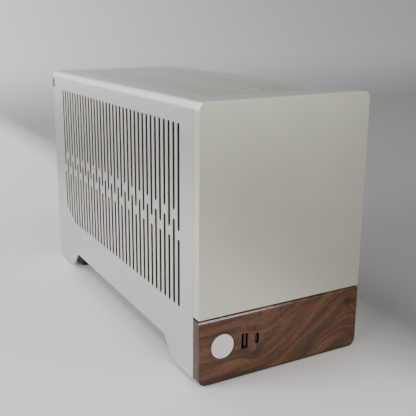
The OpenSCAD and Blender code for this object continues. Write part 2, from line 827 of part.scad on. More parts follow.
// Thin plates joined along two edges, with holes for the pipes.
module cooler_fins() {
    fins = 30;
    step = 2.6;
    y0 = cpu_y - 43;
    color("silver") difference() {
        union() {
            for (i = [0:fins - 1])
                block([fin_x0, y0 + i * step, cpu_z - cool_w / 2], [fin_x1, y0 + i * step + 0.6, cpu_z + cool_w / 2]);
            for (z = [cpu_z - 40, cpu_z + 38])
                block([fin_x1 - 1, y0, z], [fin_x1, y0 + (fins - 1) * step + 0.6, z + 2]);
        }
        for (z = pipe_z) rod_y((fin_x0 + fin_x1) / 2, y0 - 2, y0 + 90, z, 3);
    }
}

module cooler_fan_frame() {
    x0 = fin_x0 - 15;
    r = cool_fan_r + 0.8;
    color("#1c1c1c") {
        difference() {
            along_x(x0, fin_x0)
                round_rect(cpu_y - cool_w / 2, cpu_z - cool_w / 2, cpu_y + cool_w / 2, cpu_z + cool_w / 2, 3);
            rod_x(x0 - eps, fin_x0 + eps, cpu_y, cpu_z, r);
            for (y = [-41, 41], z = [-41, 41])
                rod_x(x0 - eps, fin_x0 + eps, cpu_y + y, cpu_z + z, 2.1);
        }
        difference() {
            union() {
                rod_x(fin_x0 - 2, fin_x0, cpu_y, cpu_z, 17);
                for (a = [45:90:315])
                    translate([fin_x0 - 1, cpu_y, cpu_z])
                        rotate([a, 0, 0]) block([-1, -1.5, 10], [1, 1.5, r + 0.5]);
            }
            rod_x(fin_x0 - 3, fin_x0 + 1, cpu_y, cpu_z, 2.04);
        }
    }
}

module cooler_fan_rotor() {
    color("#242424") {
        fan_wheel(fin_x0 - 14, fin_x0 - 2.6, cpu_y, cpu_z, cool_fan_r, 17, 9, 38);
        rod_x(fin_x0 - 2.6, fin_x0 - 0.4, cpu_y, cpu_z, 2);
    }
}

// ---------- Power supply ----------

module psu_case() {
    t = psu_skin;
    color("#1a1a1a") difference() {
        block([psu_x0, psu_y0, psu_z0], [psu_x1, psu_y1, psu_z1]);
        block([psu_x0 + t, psu_y0 + t, psu_z0 + t], [psu_x1 - t, psu_y1 - t, psu_z1 - t]);
        rod_x(psu_x0 - eps, psu_x0 + t + eps, psu_cy, psu_cz, psu_fan_r);
        block([inlet_x - 12.5, psu_y0 - eps, inlet_z - 9.5], [inlet_x + 12.5, psu_y0 + t + eps, inlet_z + 9.5]);
        block([inlet_x - 9.8, psu_y0 - eps, rocker_z - 6.3], [inlet_x + 9.8, psu_y0 + t + eps, rocker_z + 6.3]);
        for (z = [psu_z0 + 8 : 6 : rocker_z - 12])
            block([psu_x0 + 8, psu_y0 - eps, z], [psu_x1 - 8, psu_y0 + t + eps, z + 3]);
    }
}

// Board, heat sinks, capacitors and plug sockets inside the power supply.
module psu_circuit() {
    x1 = psu_x1 - psu_skin;
    color("darkgreen") block([x1 - 3.6, psu_y0 + 6, psu_z0 + 4], [x1 - 2, psu_y1 - 6, psu_z1 - 4]);
    color("silver") for (z = [psu_z0 + 30, psu_z0 + 86])
        block([x1 - 38, psu_y0 + 12, z], [x1 - 3.6, psu_y1 - 34, z + 3]);
    color("black") {
        rod_x(x1 - 34, x1 - 3.6, psu_y0 + 34, psu_z0 + 58, 12);
        for (z = lead_rows)
            block([lead_plug_x[0], psu_y1 - psu_skin - 14, z - 8], [lead_plug_x[1], psu_y1 - psu_skin, z + 8]);
        block([inlet_x - 12.5, psu_y0 + 3, inlet_z - 9.5], [inlet_x + 12.5, psu_y0 + 14, inlet_z + 9.5]);
        difference() {
            block([inlet_x - 9.8, psu_y0 - 0.4, rocker_z - 6.3], [inlet_x + 9.8, psu_y0 + 16, rocker_z + 6.3]);
            block([inlet_x - 9.3, psu_y0 - eps, rocker_z - 5.7], [inlet_x + 9.3, psu_y0 + 6.6, rocker_z + 5.7]);
            translate([inlet_x, rocker_y, rocker_z]) cylinder(h = 20, r = rocker_pin_r + 0.05, center = true);
        }
    }
}

// Wire rings on the fan opening.
module psu_fan_grille() {
    x = psu_x0 - 1;
    color("silver") {
        for (r = [12 : 9 : 39])
            grille_ring(x, r);
        grille_ring(x, 46.5);
        difference() {
            rod_x(x - 0.2, psu_x0 + 0.6, psu_cy, psu_cz, 11);
            rod_x(x - 1, psu_x0 + 1, psu_cy, psu_cz, 2.04);
        }
        for (a = [0:90:270])
            translate([x, psu_cy, psu_cz]) rotate([a, 0, 0]) block([-1, -0.9, 11], [-0.2, 0.9, 46]);
    }
}

// One flat ring of the grille.
module grille_ring(x, r) {
    difference() {
        rod_x(x - 0.2, x + 1, psu_cy, psu_cz, r + 0.9);
        rod_x(x - 1, x + 2, psu_cy, psu_cz, r - 0.9);
    }
}

module psu_fan_rotor() {
    color("#242424") {
        fan_wheel(psu_x0 + 1.6, psu_x0 + 13, psu_cy, psu_cz, 42.5, 18, 9, 38);
        rod_x(psu_x0 - 0.8, psu_x0 + 1.6, psu_cy, psu_cz, 2);
    }
}

module psu_rocker() {
    color("black") translate([inlet_x, rocker_y, rocker_z]) rotate([0, 0, rocker_tilt]) {
        along_z(-5.4, 5.4)
            polygon([[-8.6, -1.6], [0, -2.6], [8.6, -1.6], [7.4, 4], [-7.4, 4]]);
        cylinder(h = 12.2, r = rocker_pin_r, center = true);
    }
}

module psu_bracket() {
    t = chassis_t;
    color("#202020") difference() {
        union() {
            block([psu_x0 - 2, psu_y0 - t, psu_z0 - 4], [wall_x0, psu_y0, psu_z1]);
            block([wall_x0 - t, psu_y0, psu_z0 - 4], [wall_x0, psu_y0 + 24, psu_z1]);
        }
        block([psu_x0 + 6, psu_y0 - t - eps, psu_z0 + 6], [psu_x1 - 5, psu_y0 + eps, psu_z1 - 6]);
    }
}

// ---------- Mains inlet and lead ----------

module power_inlet() {
    color("black") {
        difference() {
            union() {
                block([socket_x - 13.4, rear_in - 16, socket_z - 9.6], [socket_x + 13.4, frame_back, socket_z + 9.6]);
                block([socket_x - 15.2, frame_back, socket_z - 11], [socket_x + 15.2, frame_back + 1.6, socket_z + 11]);
            }
            block([socket_x - 12, rear_in - 13, socket_z - 8], [socket_x + 12, frame_back + 3, socket_z + 8]);
        }
    }
    color("silver") for (p = [[-7, -1.5], [0, 2.5], [7, -1.5]])
        block([socket_x + p[0] - 1, rear_in - 13, socket_z + p[1] - 2], [socket_x + p[0] + 1, rear_in - 1, socket_z + p[1] + 2]);
}

// The lead from the rear inlet along the floor and up to the plug on the power supply.
module inlet_lead() {
    y_start = rear_in - 30;
    color("black") {
        block([socket_x - 12, y_start, lead_z - 5.4], [socket_x + 9, rear_in - 16, lead_z + 10]);
        rod_y(lead_x, lead_y + lead_bend, y_start, lead_z, lead_r);
        translate([lead_x, lead_y + lead_bend, lead_z + lead_bend])
            rotate([0, 90, 0]) rotate([0, 0, 90])
                rotate_extrude(angle = 90) translate([lead_bend, 0]) circle(lead_r);
        translate([lead_x, lead_y, lead_z + lead_bend])
            cylinder(h = inlet_z - 14 - lead_z - lead_bend, r = lead_r);
        block([inlet_x - 12, lead_y - 8, inlet_z - 14], [inlet_x + 12, psu_y0, inlet_z + 9]);
        block([inlet_x - 11, psu_y0, inlet_z - 8], [inlet_x + 11, psu_y0 + 3, inlet_z + 8]);
    }
}

// A quarter turn of round cable in the X-Y plane, from +X round to +Y about the origin.
module elbow(r_bend, r) {
    rotate_extrude(angle = 90) translate([r_bend, 0]) circle(r);
}

// The lead from the front sockets along the floor and up to its header on the main board.
module front_lead() {
    x = port_c_x - 6;
    y = board_y0 + 20;
    z_top = ram_z0 - 10;
    r = 2;
    bend = 8;
    color("#1c1c1c") {
        rod_y(x, front_lead_y, y - bend, port_z, r);
        translate([x, y - bend, port_z + bend]) rotate([90, 0, 90]) rotate([0, 0, -90]) elbow(bend, r);
        translate([x, y, port_z + bend]) cylinder(h = z_top - port_z - 2 * bend, r = r);
        translate([x + bend, y, z_top - bend]) rotate([90, 0, 0]) rotate([0, 0, 90]) elbow(bend, r);
        block([x + bend, y - 5, z_top - 4.5], [board_x, y + 5, z_top + 4.5]);
    }
}

// The front sockets' lead, and the looms from the power supply to the main board
// and over the wall to the graphics card.
module power_leads() {
    front_lead();
    plug_y = psu_y1 + 14;
    wire_r = 1.2;
    wire_step = 2.5;
    wires = 4;
    r_bend = 6;
    color("#1c1c1c") {
        block([lead_plug_x[0], psu_y1, main_socket_z - 5], [lead_plug_x[1], plug_y, main_socket_z + 5]);
        block([board_x - 24, main_socket_y[0], main_socket_z - 5], [board_x - 12, main_socket_y[1], main_socket_z + 5]);
        for (i = [0:wires - 1], row = [-1:1]) {
            x = lead_plug_x[0] + 2 + i * wire_step;
            y = main_socket_y[1] - 6 - i * wire_step * 2 - r_bend;
            z = main_socket_z + row * wire_step;
            rod_y(x, plug_y, y, z, wire_r);
            translate([x + r_bend, y, z]) rotate([0, 0, 90]) elbow(r_bend, wire_r);
            rod_x(x + r_bend, board_x - 24, y + r_bend, z, wire_r);
        }
    }
    card_plug_x = card_board_x + 7.8;
    card_plug_y = card_y0 + 40;
    lead_y2 = psu_y1 + 12;
    turn = 9;
    z = card_z1 + 16;
    r = 3.2;
    color("#1c1c1c") {
        block([lead_plug_x[1] + 4, psu_y1, z - 6], [lead_plug_x[1] + 18, psu_y1 + 3, z + 6]);
        rod_x(lead_plug_x[1] + 11, card_plug_x - turn, lead_y2, z, r);
        translate([card_plug_x - turn, lead_y2 - turn, z]) elbow(turn, r);
        rod_y(card_plug_x, card_plug_y + turn, lead_y2 - turn, z, r);
        translate([card_plug_x, card_plug_y + turn, z - turn]) rotate([90, 0, -90]) elbow(turn, r);
        block([card_board_x + 1.6, card_plug_y - 10, card_z1], [card_board_x + 14, card_plug_y + 10, z - turn]);
    }
}

// ---------- Graphics card ----------

module card_board() {
    color("darkgreen") block([card_board_x, card_y0 + 6, card_z0 + 2], [card_board_x + 1.6, card_y1, card_z1]);
    color("goldenrod")
        block([card_board_x, finger_y[0], card_z0 - 6], [card_board_x + 1.6, finger_y[1], card_z0 + 2]);
    color("#1c1c1c") block([card_board_x - 3, card_y0 + 6, card_z0 + 4], [card_board_x, card_y1 - 2, card_z1 - 1]);
    color("black") block([card_board_x + 1.6, card_y0 + 30, card_z1 - 10], [card_board_x + 14, card_y0 + 50, card_z1]);
}

module card_heatsink() {
    fins = 44;
    step = (card_l - 30) / fins;
    y0 = card_y0 + 10;
    x0 = card_board_x + 4.6;
    color("silver") {
        block([x0, y0, card_z0 + 10], [x0 + 3, y0 + (fins - 1) * step + 0.7, card_z1 - 12]);
        for (i = [0:fins - 1])
            block([x0 + 3, y0 + i * step, card_z0 + 8], [card_x1 - 14.5, y0 + i * step + 0.7, card_z1 - 12]);
    }
    color("peru") block([card_board_x + 1.6, card_fan_y[1] - 60, card_fan_z - 18],
                        [x0, card_fan_y[1] - 24, card_fan_z + 18]);
}

// Moulded cover with two fan openings, open towards the card's edges.
module card_shroud() {
    ring = card_fan_r + 1.2;
    color("#1f1f1f") {
        difference() {
            along_x(card_x1 - 14, card_x1) round_rect(card_y0, card_z0, card_y1, card_z1, 6);
            for (y = card_fan_y) rod_x(card_x1 - 15, card_x1 + eps, y, card_fan_z, ring);
            block([card_x1 - 15, card_y0 + 3, card_z0 + 3], [card_x1 - 2.2, card_y1 - 3, card_z1 - 3]);
        }
        for (y = card_fan_y) {
            difference() {
                rod_x(card_x1 - 13.8, card_x1 - 2.2, y, card_fan_z, ring + 1.6);
                rod_x(card_x1 - 15, card_x1, y, card_fan_z, ring);
            }
            difference() {
                union() {
                    rod_x(card_x1 - 14, card_x1 - 12, y, card_fan_z, 15);
                    for (a = [30:120:270])
                        translate([card_x1 - 13, y, card_fan_z])
                            rotate([a, 0, 0]) block([-1, -2, 8], [1, 2, ring + 0.8]);
                }
                rod_x(card_x1 - 15, card_x1 - 11, y, card_fan_z, 2.04);
            }
        }
        for (z = [card_z0, card_z1 - 2])
            block([card_x0, card_y0 + 54, z], [card_x1 - 14, card_y1 - 60, z + 2]);
    }
}

// Rear plate of the card with its display sockets, and the cover of the spare slot.
module card_bracket() {
    color("silver") {
        difference() {
            block([slot_x[0] - 9, rear_in - 0.9, card_z0 - 4], [slot_x[1] + 9, rear_in, card_z1 + 11]);
            for (z = [card_z0 + 12, card_z0 + 34, card_z0 + 56])
                block([card_board_x + 2, rear_in - 2, z], [card_board_x + 8, rear_in + 1, z + 15]);
            for (z = [card_z0 + 8 : 6 : card_z1 - 10])
                block([slot_x[1] - 6, rear_in - 2, z], [slot_x[1] + 6, rear_in + 1, z + 3]);
            for (i = [0, 1]) rod_y(slot_x[i], rear_in - 2, rear_in + 1, card_z1 + 7, 1.6);
        }
        block([card_board_x + 2, card_y1, card_z1 - 24], [card_board_x + 12, rear_in - 0.9, card_z1 - 12]);
        difference() {
            block([slot_x[2] - 9, rear_in - 0.9, card_z0 - 4], [slot_x[2] + 7.4, rear_in, card_z1 + 11]);
            for (z = [card_z0 + 8 : 6 : card_z1 - 10])
                block([slot_x[2] - 5.5, rear_in - 2, z], [slot_x[2] + 5.5, rear_in + 1, z + 3]);
            rod_y(slot_x[2], rear_in - 2, rear_in + 1, card_z1 + 7, 1.6);
        }
    }
    color("dimgray") for (z = [card_z0 + 12, card_z0 + 34, card_z0 + 56])
        difference() {
            block([card_board_x + 2.2, rear_in - 12, z + 0.2], [card_board_x + 7.8, rear_in + 0.6, z + 14.8]);
            difference() {
                block([card_board_x + 2.8, rear_in - 9, z + 0.8], [card_board_x + 7.2, rear_in + 2, z + 14.2]);
                block([card_board_x + 4.4, rear_in - 10, z + 2.5], [card_board_x + 5.6, rear_in - 1, z + 12.5]);
            }
        }
}

module card_fan(y) {
    color("#2a2a2a") {
        fan_wheel(card_x1 - 11.6, card_x1 - 0.6, y, card_fan_z, card_fan_r, 18, card_blades, 38);
        rod_x(card_x1 - 13.6, card_x1 - 11.6, y, card_fan_z, 2);
    }
}

module card_fan_front() {
    card_fan(card_fan_y[0]);
}

module card_fan_rear() {
    card_fan(card_fan_y[1]);
}

// ---------- Riser ----------

module riser_socket() {
    color("black") {
        difference() {
            block([card_board_x - 3, finger_y[0] - 2, card_z0 - 16], [card_board_x + 4.6, finger_y[1] + 2, card_z0 - 3]);
            block([card_board_x - 0.15, finger_y[0] - 0.3, card_z0 - 6.4],
                  [card_board_x + 1.75, finger_y[1] + 0.3, card_z0]);
        }
        block([board_x - 20, pcie_y[0], pcie_z - 3.6], [board_x - 11, pcie_y[1], pcie_z + 3.6]);
        block([board_x - 11, pcie_y[0] + 2.2, pcie_z - 0.8], [board_x - 3.2, pcie_y[1] - 2.2, pcie_z + 0.8]);
    }
}

// A flat cable that passes under the centre wall.
module riser_ribbon() {
    x0 = board_x - 15.5;
    x1 = card_board_x + 0.8;
    z_low = floor_z + 4;
    r = 5;
    t = 1.6;
    path_out = concat(arc([x0 + r, z_low + r], r, 180, 270, 6), arc([x1 - r, z_low + r], r, 270, 360, 6));
    path_in = concat(arc([x1 - r, z_low + r], r - t, 360, 270, 6), arc([x0 + r, z_low + r], r - t, 270, 180, 6));
    color("#222222") along_y(ribbon_y[0], ribbon_y[1])
        polygon(concat([[x0, pcie_z - 3.6]], path_out, [[x1, card_z0 - 16], [x1 - t, card_z0 - 16]],
                       path_in, [[x0 + t, pcie_z - 3.6]]));
}

left_side_panel();
right_side_panel();
left_panel_hooks();
right_panel_hooks();
left_pull_tab();
right_pull_tab();
left_catch_studs();
right_catch_studs();
top_panel();
front_plate();
wood_strip();
power_button();
power_switch();
usb_a_port();
usb_c_port();
front_io_board();
base_plate();
chassis_feet();
foot_pads();
hinge_pins();
catch_clips();
front_frame();
rear_frame();
top_rails();
centre_wall();
chassis_screws();
io_shield();
motherboard();
board_standoffs();
rear_data_ports();
lan_port();
audio_jacks();
processor();
board_sockets();
ram_latch_upper();
ram_latch_lower();
memory_modules();
storage_heatsink();
vrm_heatsinks();
cooler_base();
cooler_fins();
cooler_fan_frame();
cooler_fan_rotor();
psu_case();
psu_circuit();
psu_fan_grille();
psu_fan_rotor();
psu_rocker();
psu_bracket();
power_inlet();
inlet_lead();
power_leads();
card_board();
card_heatsink();
card_shroud();
card_bracket();
card_fan_front();
card_fan_rear();
riser_socket();
riser_ribbon();
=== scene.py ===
"""Looks for a small desktop computer tower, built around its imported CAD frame.

Blasted aluminium skin, a walnut strip, black steel chassis and detailed inner parts.
All lengths are metres in the frame of the CAD model: X across, Y front to rear, Z up.
"""
import json
import math
import random

import bmesh
import bpy
from mathutils import Matrix, Vector


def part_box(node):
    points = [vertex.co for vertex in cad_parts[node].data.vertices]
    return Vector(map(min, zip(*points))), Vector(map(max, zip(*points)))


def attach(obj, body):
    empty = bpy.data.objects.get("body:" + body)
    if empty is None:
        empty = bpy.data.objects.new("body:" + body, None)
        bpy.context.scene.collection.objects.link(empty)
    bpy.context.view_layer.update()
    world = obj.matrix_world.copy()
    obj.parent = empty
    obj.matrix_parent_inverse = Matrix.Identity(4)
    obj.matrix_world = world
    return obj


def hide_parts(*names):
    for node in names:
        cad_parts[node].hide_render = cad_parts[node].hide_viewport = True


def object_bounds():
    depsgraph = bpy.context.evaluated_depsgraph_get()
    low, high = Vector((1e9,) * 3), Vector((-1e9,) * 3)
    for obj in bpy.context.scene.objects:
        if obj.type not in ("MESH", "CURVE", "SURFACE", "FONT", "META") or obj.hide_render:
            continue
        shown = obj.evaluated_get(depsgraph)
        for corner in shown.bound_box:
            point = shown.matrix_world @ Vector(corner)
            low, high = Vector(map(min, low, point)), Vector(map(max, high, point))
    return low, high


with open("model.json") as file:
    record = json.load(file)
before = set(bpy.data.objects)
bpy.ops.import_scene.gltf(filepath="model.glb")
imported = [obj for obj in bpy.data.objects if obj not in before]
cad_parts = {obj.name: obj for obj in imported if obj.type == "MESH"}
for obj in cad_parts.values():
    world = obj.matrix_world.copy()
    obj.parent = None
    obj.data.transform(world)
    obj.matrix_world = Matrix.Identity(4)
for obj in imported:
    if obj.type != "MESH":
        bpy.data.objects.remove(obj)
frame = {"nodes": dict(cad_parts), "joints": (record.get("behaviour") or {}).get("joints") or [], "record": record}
NODES = frame["nodes"]
CAD_BOX = [list(corner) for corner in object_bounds()]
HALF_WIDTH = CAD_BOX[1][0]   # from the middle to a side panel's outer face
MM = 0.001


# ---------- Camera and light ----------

CAMERA_AT = (-0.29898, -0.56824, 0.27282)
CAMERA_TURN = math.radians(26.57)   # from the tower's length axis towards +X
CAMERA_DOWN = math.radians(13.71)
CAMERA_ROLL = math.radians(-0.38)
CAMERA_LENS = 57.54                 # in millimetres, over a sensor 36 mm wide
CAMERA_SHIFT = (0.0943, -0.0623)


def make_camera():
    """The view from the left front, from a little above the tower."""
    forward = Vector((math.sin(CAMERA_TURN) * math.cos(CAMERA_DOWN),
                      math.cos(CAMERA_TURN) * math.cos(CAMERA_DOWN),
                      -math.sin(CAMERA_DOWN)))
    level = Vector((math.cos(CAMERA_TURN), -math.sin(CAMERA_TURN), 0.0))
    above = level.cross(forward)
    right = level * math.cos(CAMERA_ROLL) + above * math.sin(CAMERA_ROLL)
    up = above * math.cos(CAMERA_ROLL) - level * math.sin(CAMERA_ROLL)
    data = bpy.data.cameras.new("camera")
    data.lens = CAMERA_LENS
    data.sensor_width = 36.0
    data.shift_x, data.shift_y = CAMERA_SHIFT
    data.clip_start = 0.01
    data.clip_end = 50.0
    camera = bpy.data.objects.new("camera", data)
    bpy.context.scene.collection.objects.link(camera)
    rotation = Matrix((right, up, -forward)).transposed()
    camera.matrix_world = Matrix.Translation(CAMERA_AT) @ rotation.to_4x4()
    bpy.context.scene.camera = camera


def area_light(name, at, towards, size, power, color):
    data = bpy.data.lights.new(name, "AREA")
    data.shape = "RECTANGLE"
    data.size, data.size_y = size
    data.energy = power
    data.color = color
    light = bpy.data.objects.new(name, data)
    bpy.context.scene.collection.objects.link(light)
    aim = Vector(towards) - Vector(at)
    light.rotation_euler = aim.to_track_quat("-Z", "Y").to_euler()
    light.location = at


def make_light():
    """Two lamps at the left, three small high ones, two far ones in front and one for the backdrop."""
    middle = (0.0, 0.0, 0.11)
    upper_front = (0.0, 0.0, 0.14)
    far_wall = (-1.2, 3.8, 0.9)
    left_white = (1.0, 0.998, 0.985)
    high_white = (1.0, 1.0, 0.99)
    area_light("key", (-2.05, 0.35, 0.86), middle, (1.0, 0.8), 29.0, left_white)
    area_light("near_left", (-1.0, -0.45, 0.50), middle, (0.6, 0.5), 5.0, left_white)
    area_light("overhead", (-0.9, 0.2, 1.9), middle, (0.5, 0.5), 10.0, high_white)
    area_light("high_back", (-0.45, 1.7, 1.75), middle, (0.5, 0.5), 4.0, high_white)
    area_light("high_right", (0.96, -1.10, 1.77), middle, (0.4, 0.3), 8.0, (1.0, 1.0, 0.98))
    area_light("front_low", (0.2, -2.9, 0.9), upper_front, (2.0, 1.0), 9.0, (1.0, 1.0, 0.96))
    area_light("front_right", (1.3, -2.6, 0.55), upper_front, (1.6, 0.8), 10.0, (1.0, 1.0, 0.94))
    area_light("backdrop", (-1.9, 1.6, 2.1), far_wall, (1.2, 1.2), 140.0, (1.0, 0.99, 0.98))
    ambient_color = (0.90, 0.89, 0.88, 1.0)
    ambient_strength = 0.37
    world = bpy.data.worlds.new("studio")
    world.use_nodes = True
    background = world.node_tree.nodes["Background"]
    background.inputs["Color"].default_value = ambient_color
    background.inputs["Strength"].default_value = ambient_strength
    bpy.context.scene.world = world


# ---------- Material helpers ----------

class Shader:
    """A material whose node tree is built with short calls."""

    # Places of the colour sockets among the mix node's inputs, and of its colour output.
    MIX_FACTOR = 0
    MIX_FIRST = 6
    MIX_SECOND = 7
    MIX_RESULT = 2

    def __init__(self, name, color, roughness, metallic=0.0, **sockets):
        self.material = bpy.data.materials.new(name)
        self.material.use_nodes = True
        self.tree = self.material.node_tree
        self.surface = self.tree.nodes["Principled BSDF"]
        self.set("Base Color", (*color, 1.0))
        self.set("Metallic", metallic)
        self.set("Roughness", roughness)
        for socket, value in sockets.items():
            self.set(socket.replace("_", " "), value)
        self.place = self.node("ShaderNodeTexCoord").outputs["Object"]

    def set(self, socket, value):
        self.surface.inputs[socket].default_value = value

    def node(self, kind, **values):
        made = self.tree.nodes.new(kind)
        for name, value in values.items():
            setattr(made, name, value)
        return made

    def link(self, source, target):
        self.tree.links.new(source, target)

    def feed(self, socket, source):
        self.link(source, self.surface.inputs[socket])

    def mapped(self, scale=(1, 1, 1), turn=(0, 0, 0), move=(0, 0, 0), source=None):
        mapping = self.node("ShaderNodeMapping")
        mapping.inputs["Scale"].default_value = scale
        mapping.inputs["Rotation"].default_value = turn
        mapping.inputs["Location"].default_value = move
        self.link(source or self.place, mapping.inputs["Vector"])
        return mapping.outputs["Vector"]

    def noise(self, scale, detail=2.0, roughness=0.5, where=None, distortion=0.0):
        made = self.node("ShaderNodeTexNoise")
        made.inputs["Scale"].default_value = scale
        made.inputs["Detail"].default_value = detail
        made.inputs["Roughness"].default_value = roughness
        made.inputs["Distortion"].default_value = distortion
        self.link(where or self.place, made.inputs["Vector"])
        return made.outputs["Fac"]

    def math(self, operation, a, b=0.0):
        made = self.node("ShaderNodeMath", operation=operation)
        for socket, value in zip(made.inputs, (a, b)):
            if isinstance(value, (int, float)):
                socket.default_value = value
            else:
                self.link(value, socket)
        return made.outputs[0]

    def spread(self, source, low, high, from_low, from_high, kind="LINEAR"):
        """Runs from low to high while the source runs from from_low to from_high, and is level beyond."""
        made = self.node("ShaderNodeMapRange", interpolation_type=kind)
        self.link(source, made.inputs["Value"])
        for socket, value in zip(("From Min", "From Max", "To Min", "To Max"),
                                 (from_low, from_high, low, high)):
            made.inputs[socket].default_value = value
        return made.outputs["Result"]

    def ramp(self, source, stops):
        made = self.node("ShaderNodeValToRGB")
        ramp = made.color_ramp
        while len(ramp.elements) < len(stops):
            ramp.elements.new(0.5)
        for element, (position, color) in zip(ramp.elements, stops):
            element.position = position
            element.color = (*color, 1.0)
        self.link(source, made.inputs["Fac"])
        return made.outputs["Color"]

    def axes(self, source=None):
        """The X, Y and Z of a vector, which is the place on the object unless another is given."""
        made = self.node("ShaderNodeSeparateXYZ")
        self.link(source or self.place, made.inputs[0])
        return made.outputs

    def facing(self):
        """The X, Y and Z of the surface normal."""
        return self.axes(self.node("ShaderNodeTexCoord").outputs["Normal"])

    def mix(self, factor, first, second):
        made = self.node("ShaderNodeMix", data_type="RGBA")
        chosen = {self.MIX_FACTOR: factor, self.MIX_FIRST: first, self.MIX_SECOND: second}
        for index, value in chosen.items():
            if isinstance(value, tuple):
                made.inputs[index].default_value = (*value, 1.0)
            else:
                self.link(value, made.inputs[index])
        return made.outputs[self.MIX_RESULT]

    def bump(self, height, distance, strength):
        made = self.node("ShaderNodeBump")
        made.inputs["Distance"].default_value = distance
        made.inputs["Strength"].default_value = strength
        self.link(height, made.inputs["Height"])
        self.feed("Normal", made.outputs["Normal"])


def tint(color, factor):
    return tuple(min(1.0, c * factor) for c in color)


# ---------- Materials ----------

VENT_MIDDLE = 0.1275   # height of the slotted field of the side panels
VENT_HALF = 0.0775


def painted_slot_shade_mask(s):
    """Painted shade for the side panels' slots: one on the punched walls just below the outer faces, but not on
    upward ledges, and zero elsewhere.
    """
    x, _, z = s.axes()
    depth = s.spread(s.math("ABSOLUTE", x), 1.0, 0.0, HALF_WIDTH - 1.3 * MM, HALF_WIDTH - 0.25 * MM)
    inside = s.math("LESS_THAN", s.math("ABSOLUTE", s.math("ADD", z, -VENT_MIDDLE)), VENT_HALF)
    not_ledge = s.spread(s.facing()[2], 1.0, 0.0, 0.3, 0.7)
    return s.math("MULTIPLY", s.math("MULTIPLY", depth, inside), not_ledge)


def blasted_aluminium(name, color, roughness, shade_slot_walls=False):
    """Bead-blasted anodised sheet: a tiny sparkle, slow cloudiness and handling marks; on the vented side panels,
    painted shade on the slot walls.
    """
    # Painted shade: a near-black colour for the walls inside the slots.
    painted_slot_shade = (0.045, 0.045, 0.044)
    s = Shader(name, color, metallic=0.92, roughness=roughness)
    grain = s.noise(1400.0, detail=3.0)
    cloud = s.noise(9.0, detail=4.0, roughness=0.6)
    marks = s.noise(60.0, detail=5.0, roughness=0.7, where=s.mapped(scale=(1.0, 0.4, 1.0)))
    shade = s.mix(s.spread(grain, 0.0, 1.0, 0.3, 0.7), tint(color, 0.90), tint(color, 1.08))
    shade = s.mix(s.spread(cloud, 0.0, 0.5, 0.35, 0.7), shade, tint(color, 0.97))
    # Painted shade: the slot walls are darkened where the inside of the slots would be in shadow.
    if shade_slot_walls:
        shade = s.mix(painted_slot_shade_mask(s), shade, painted_slot_shade)
    soft = s.math("ADD", s.spread(cloud, -0.03, 0.03, 0.3, 0.7), s.spread(marks, -0.02, 0.02, 0.3, 0.7))
    s.feed("Base Color", shade)
    s.feed("Roughness", s.math("ADD", soft, roughness))
    s.bump(grain, 0.00004, 0.35)
    return s.material


def growth_layers(s, x, y, z, side):
    """Where a point lies along and across the walnut's growth layers, and how deep in a knot it is.

    The layers are a height field: a climb from left to right, slow waves and a push around each knot.
    On the strip's side faces they stand upright instead.
    """
    wave_height = 0.016
    knot_stretch = 0.75
    # X, Z, width and push of each knot.
    knots = ((-0.026, 0.0175, 0.0062, 0.0075), (0.067, 0.042, 0.010, -0.010))
    climb = s.spread(x, 0.0, 0.044, -0.022, 0.066, kind="SMOOTHSTEP")
    slow = s.noise(20.0, detail=2.0, where=s.mapped(scale=(0.7, 1.0, 1.3), move=(0.31, 0.0, 0.12)))
    wave = s.math("MULTIPLY", s.math("SUBTRACT", slow, 0.5), wave_height)
    level = s.math("ADD", s.math("SUBTRACT", z, climb), wave)
    cores = []
    for knot_x, knot_z, width, push in knots:
        dx = s.math("MULTIPLY", s.math("SUBTRACT", x, knot_x), knot_stretch)
        dz = s.math("SUBTRACT", z, knot_z)
        far = s.math("ADD", s.math("MULTIPLY", dx, dx), s.math("MULTIPLY", dz, dz))
        near = s.math("EXPONENT", s.math("MULTIPLY", far, -1.0 / (width * width)))
        level = s.math("ADD", level, s.math("MULTIPLY", near, push))
        cores.append(s.math("EXPONENT", s.math("MULTIPLY", far, -9.0 / (width * width))))
    level = s.math("ADD", s.math("MULTIPLY", level, s.math("SUBTRACT", 1.0, side)),
                   s.math("MULTIPLY", y, side))
    grain = s.node("ShaderNodeCombineXYZ")
    s.link(s.math("MULTIPLY", x, 0.10), grain.inputs[0])
    s.link(s.math("MULTIPLY", z, s.math("MULTIPLY", side, 0.08)), grain.inputs[1])
    s.link(level, grain.inputs[2])
    return grain.outputs[0], s.math("MAXIMUM", *cores)


